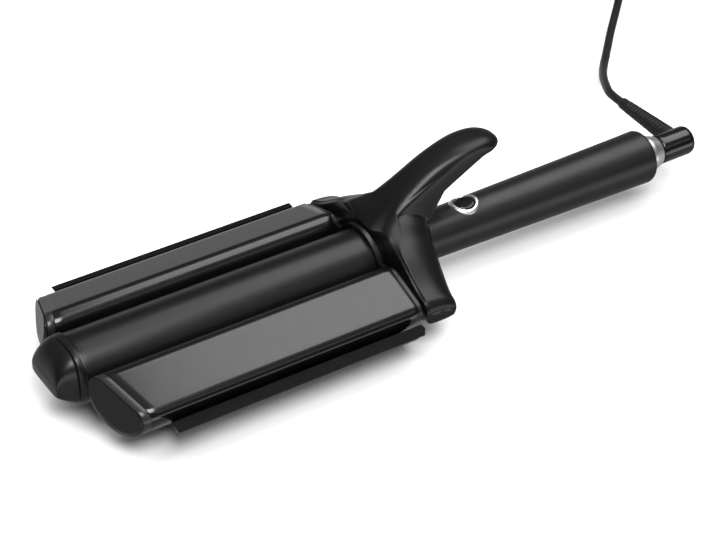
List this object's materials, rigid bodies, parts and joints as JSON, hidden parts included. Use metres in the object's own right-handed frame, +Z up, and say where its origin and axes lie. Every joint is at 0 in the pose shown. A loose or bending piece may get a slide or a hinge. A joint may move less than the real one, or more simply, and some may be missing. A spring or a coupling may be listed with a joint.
{
  "type": "hair waver",
  "caption": "Corded hair waver: a round barrel over a double channel plate, sprung half barrels on a thumb lever, slim handle with power button and swivel cord.",
  "frame": {"origin": "on the surface the waver rests on, straight below the middle of the hinge axis", "axes": "+X along the handle towards the cord, +Y to the left when looking along the handle towards the cord, +Z up"},
  "size_m": [0.547, 0.3071, 0.0695],
  "materials": {
    "black_coating": "smooth glossy black ceramic-like coating on aluminium",
    "plate_coating": "satin black coating on sheet aluminium",
    "matte_black": "fine matte black moulded nylon",
    "satin_black": "satin black moulded heat-proof plastic",
    "handle_black": "soft satin black lacquer over plastic",
    "grey_collar": "satin grey insulating plastic",
    "gloss_black": "glossy black plastic",
    "chrome": "polished",
    "steel": "turned",
    "bronze": "sintered bronze",
    "heater_ceramic": "unglazed alumina",
    "board": "glass-filled board with green mask",
    "switch": "moulded",
    "wire": "silicone sleeve",
    "cord_rubber": "matte black vinyl-like rubber",
    "pins": "bare stamped brass"
  },
  "bodies": {
    "handle_and_lower_jaw": {"middle_barrel": "black_coating", "lower_plate": "plate_coating", "under_cover": "satin_black", "nose_cap": "satin_black", "middle_heater": "heater_ceramic", "heat_sensor": "bronze", "hub_housing": "satin_black", "hinge_pin": "steel", "torsion_spring": "steel", "handle_shell": "handle_black", "handle_end_plate": "satin_black", "bright_ring": "chrome", "button_bezel": "chrome", "circuit_board": "board", "button_switch": "switch", "swivel_bearing": "satin_black", "heater_wires": "wire"},
    "upper_jaw": {"yoke_lever": "matte_black", "yoke_collar": "satin_black", "left_bush": "bronze", "right_bush": "bronze", "left_half_barrel": "black_coating", "right_half_barrel": "black_coating", "left_front_collar": "grey_collar", "right_front_collar": "grey_collar", "left_end_cap": "satin_black", "right_end_cap": "satin_black", "left_heater": "heater_ceramic", "right_heater": "heater_ceramic"},
    "power_button": {"power_button": "gloss_black"},
    "cord_swivel": {"swivel_shaft": "steel", "swivel_knob": "gloss_black", "strain_relief": "cord_rubber", "cord_run": "cord_rubber", "cord_coil": "cord_rubber", "cord_tie": "cord_rubber", "plug_body": "cord_rubber", "plug_pins": "pins"}
  },
  "joints": [
    {"name": "jaw_hinge", "type": "hinge", "parent": "handle_and_lower_jaw", "child": "upper_jaw", "pos_m": [0, 0, 0.021], "axis": [0, 1, 0], "range_deg": [0, 22], "stiffness_Nm_per_rad": 1, "springref_deg": -20.05, "deforming": ["torsion_spring"]},
    {"name": "button_press", "type": "slide", "parent": "handle_and_lower_jaw", "child": "power_button", "axis": [0, 0, -1], "range_m": [0, 0.0006], "stiffness_N_per_m": 900, "springref_m": -0.0006},
    {"name": "cord_turn", "type": "hinge", "parent": "handle_and_lower_jaw", "child": "cord_swivel", "pos_m": [0.1529, 0, 0.021], "axis": [1, 0, 0], "continuous": true}
  ]
}
